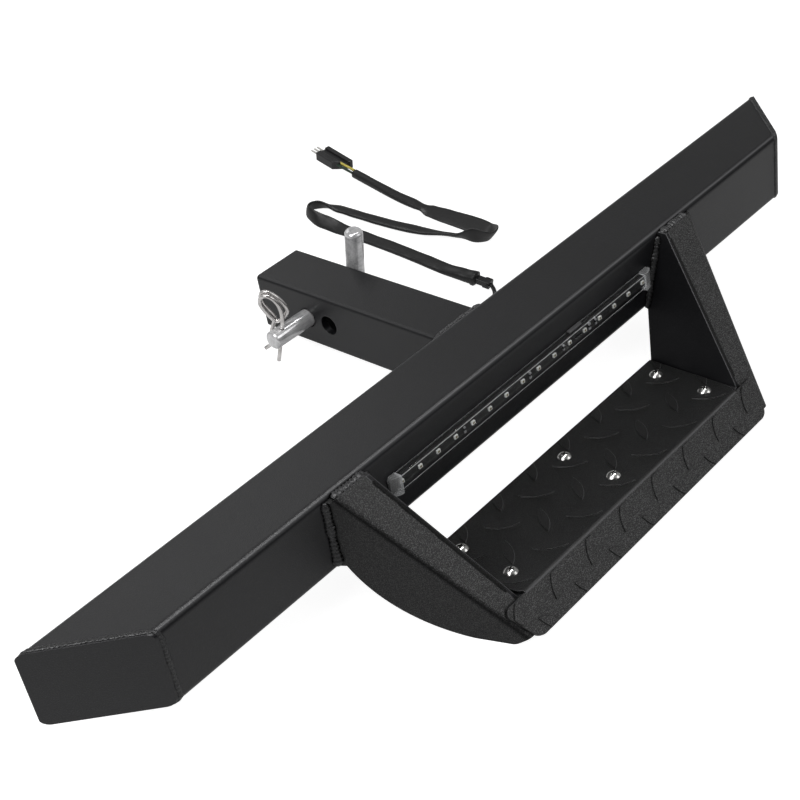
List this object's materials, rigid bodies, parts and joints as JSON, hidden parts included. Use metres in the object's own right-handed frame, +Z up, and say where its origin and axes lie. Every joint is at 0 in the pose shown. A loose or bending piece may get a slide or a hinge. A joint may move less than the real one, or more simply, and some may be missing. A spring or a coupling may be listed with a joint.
{
  "type": "hitch receiver step",
  "caption": "Steel hitch step with a wide cross tube, a shank for a receiver, a hitch pin with clip, a patterned tread below, a light strip and a harness with a trailer plug.",
  "frame": {"origin": "centre of the hitch pin's cross hole on the axis of the shank", "axes": "+X along the cross tube, +Y along the shank into the vehicle's receiver, +Z up in use"},
  "size_m": [0.87, 0.5407, 0.1549],
  "materials": {
    "coat": "satin",
    "coat_rough": "fine texture",
    "weld": "satin over a rippled bead",
    "pin_zinc": "bright plated",
    "clip_zinc": "bright plated wire",
    "screw_zinc": "bright plated",
    "nut_zinc": "plated",
    "strip_base": "matt",
    "board": "gloss",
    "chip": "gloss",
    "tin": "tinned",
    "lens": "clear",
    "strip_clip": "matt",
    "rubber": "matt",
    "lead": "satin",
    "sleeve": "satin",
    "connector": "satin",
    "plug": "satin",
    "prong": "plated",
    "wire_yellow": "satin",
    "wire_brown": "satin",
    "wire_green": "satin",
    "wire_white": "satin"
  },
  "bodies": {
    "step_frame": {"cross_tube": "coat", "end_cap_left": "coat", "end_cap_right": "coat", "cap_welds": "weld", "shank": "coat", "shank_weld": "weld", "bracket_left": "coat_rough", "bracket_right": "coat_rough", "bracket_welds": "weld", "step_tray": "coat", "tread_plate": "coat_rough", "tread_screws": "screw_zinc", "tread_nuts": "nut_zinc", "led_base": "strip_base", "led_board": "board", "led_chips": "chip", "led_resistors": "tin", "led_lens": "lens", "led_end_left": "lens", "led_end_right": "lens", "led_clip": "strip_clip", "wire_grommet": "rubber", "lead_wire_a": "lead", "lead_wire_b": "lead", "connector_socket": "connector", "connector_plug": "connector", "sleeve_collar": "connector", "harness_sleeve": "sleeve", "trailer_plug": "plug", "plug_prongs": "prong", "plug_wire_yellow": "wire_yellow", "plug_wire_brown": "wire_brown", "plug_wire_green": "wire_green", "plug_wire_white": "wire_white"},
    "pin": {"hitch_pin": "pin_zinc"},
    "clip": {"hitch_clip": "clip_zinc"}
  },
  "joints": [
    {"name": "pin_turn", "type": "hinge", "parent": "step_frame", "child": "pin", "pos_m": [0, 0, -0.00022], "axis": [0.9998, 0, -0.0209], "continuous": true},
    {"name": "clip_pull", "type": "slide", "parent": "pin", "child": "clip", "axis": [0.0197, -0.342, 0.9395], "range_m": [0, 0.045], "deforming": ["hitch_clip"]}
  ]
}
